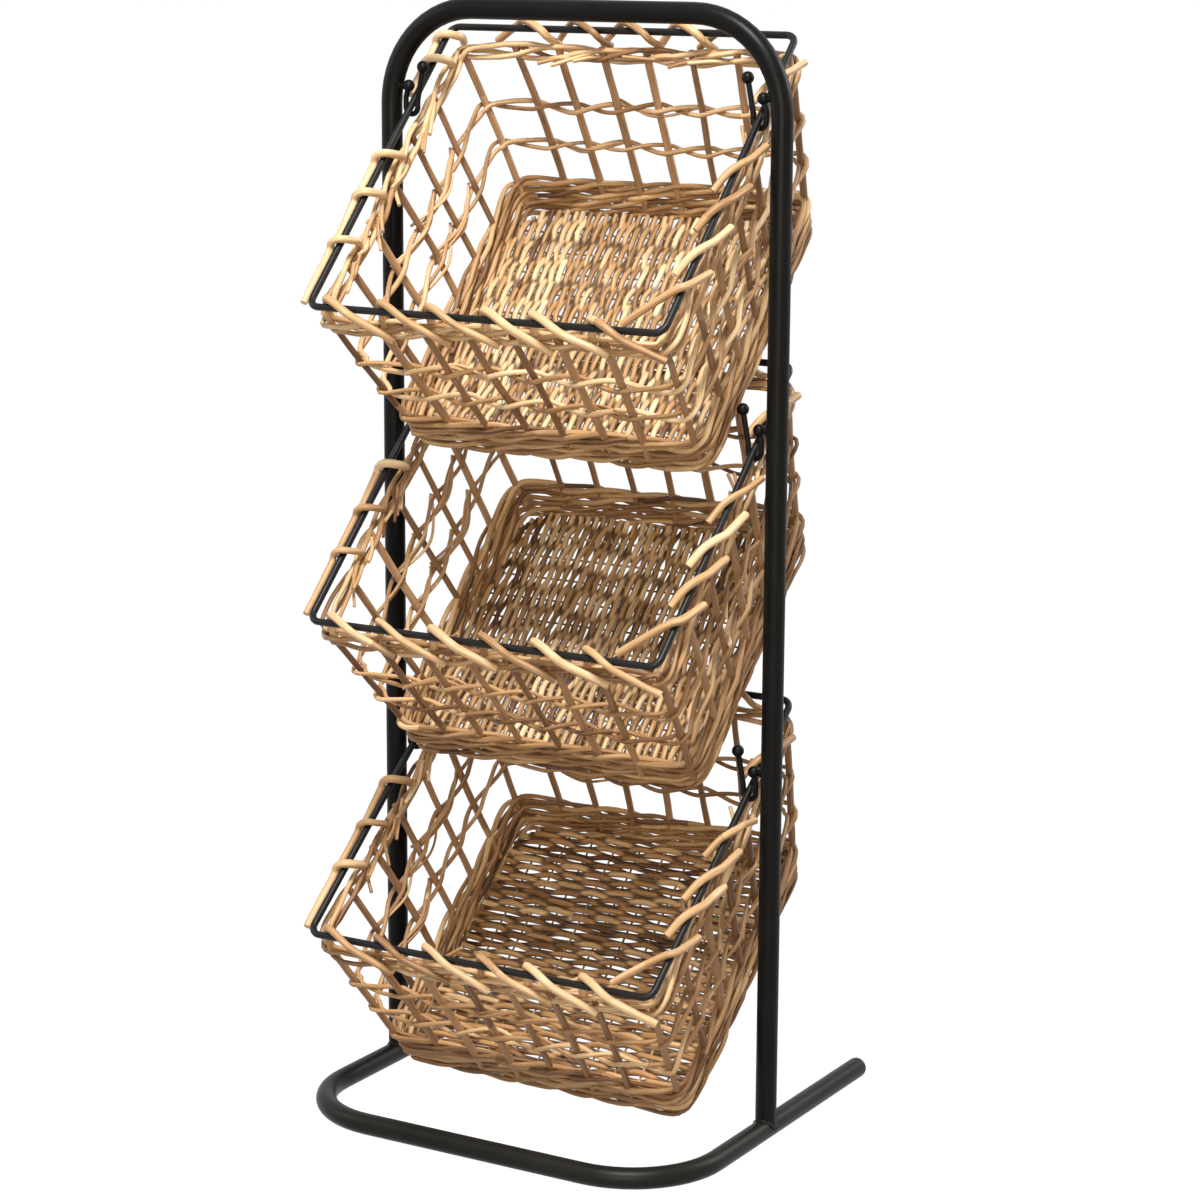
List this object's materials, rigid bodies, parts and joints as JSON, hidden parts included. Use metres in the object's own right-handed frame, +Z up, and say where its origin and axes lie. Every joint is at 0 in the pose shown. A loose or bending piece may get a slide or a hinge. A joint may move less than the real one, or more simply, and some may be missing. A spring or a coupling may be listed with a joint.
{
  "type": "basket display stand",
  "caption": "Free-standing black tubular steel stand with open-work willow baskets, tipped forward one above another and hung by their rim wires from hooks on the uprights.",
  "frame": {"origin": "on the floor, under the middle of the stand, in the plane of the uprights", "axes": "+Z up, +X to the right seen from the front, -Y towards the customer"},
  "size_m": [0.414, 0.375, 1],
  "materials": {
    "black_steel": "satin black powder coat",
    "plug_plastic": "fine matt moulded",
    "rim_steel": "satin black paint",
    "willow_stakes": "dry brown willow rod",
    "willow_weavers": "dry buff willow rod",
    "willow_wale": "dry reddish willow rod",
    "willow_floor": "dry buff willow rod"
  },
  "bodies": {
    "stand": {"bottom_hook_left": "black_steel", "bottom_hook_peg_left": "black_steel", "bottom_hook_peg_right": "black_steel", "bottom_hook_right": "black_steel", "end_plug_left": "plug_plastic", "end_plug_right": "plug_plastic", "floor_base": "black_steel", "middle_hook_left": "black_steel", "middle_hook_peg_left": "black_steel", "middle_hook_peg_right": "black_steel", "middle_hook_right": "black_steel", "top_hook_left": "black_steel", "top_hook_peg_left": "black_steel", "top_hook_peg_right": "black_steel", "top_hook_right": "black_steel", "upright_hoop": "black_steel"},
    "top_basket": {"top_back_stakes": "willow_stakes", "top_border_wraps": "willow_weavers", "top_bottom_wale": "willow_wale", "top_floor_sticks": "willow_floor", "top_front_stakes": "willow_stakes", "top_left_stakes": "willow_stakes", "top_lower_pairing": "willow_weavers", "top_right_stakes": "willow_stakes", "top_rim_wire": "rim_steel", "top_top_wale": "willow_weavers", "top_upper_pairing": "willow_weavers", "top_woven_floor": "willow_floor"},
    "middle_basket": {"middle_back_stakes": "willow_stakes", "middle_border_wraps": "willow_weavers", "middle_bottom_wale": "willow_wale", "middle_floor_sticks": "willow_floor", "middle_front_stakes": "willow_stakes", "middle_left_stakes": "willow_stakes", "middle_lower_pairing": "willow_weavers", "middle_right_stakes": "willow_stakes", "middle_rim_wire": "rim_steel", "middle_top_wale": "willow_weavers", "middle_upper_pairing": "willow_weavers", "middle_woven_floor": "willow_floor"},
    "bottom_basket": {"bottom_back_stakes": "willow_stakes", "bottom_border_wraps": "willow_weavers", "bottom_bottom_wale": "willow_wale", "bottom_floor_sticks": "willow_floor", "bottom_front_stakes": "willow_stakes", "bottom_left_stakes": "willow_stakes", "bottom_lower_pairing": "willow_weavers", "bottom_right_stakes": "willow_stakes", "bottom_rim_wire": "rim_steel", "bottom_top_wale": "willow_weavers", "bottom_upper_pairing": "willow_weavers", "bottom_woven_floor": "willow_floor"}
  },
  "joints": [
    {"name": "top_basket_swing", "type": "hinge", "parent": "stand", "child": "top_basket", "pos_m": [0, 0, 0.896], "axis": [1, 0, 0], "range_deg": [-40, 1.5]},
    {"name": "middle_basket_swing", "type": "hinge", "parent": "stand", "child": "middle_basket", "pos_m": [0, 0, 0.614], "axis": [1, 0, 0], "range_deg": [-40, 1.5]},
    {"name": "bottom_basket_swing", "type": "hinge", "parent": "stand", "child": "bottom_basket", "pos_m": [0, 0, 0.311], "axis": [1, 0, 0], "range_deg": [-36, 1.5]}
  ]
}
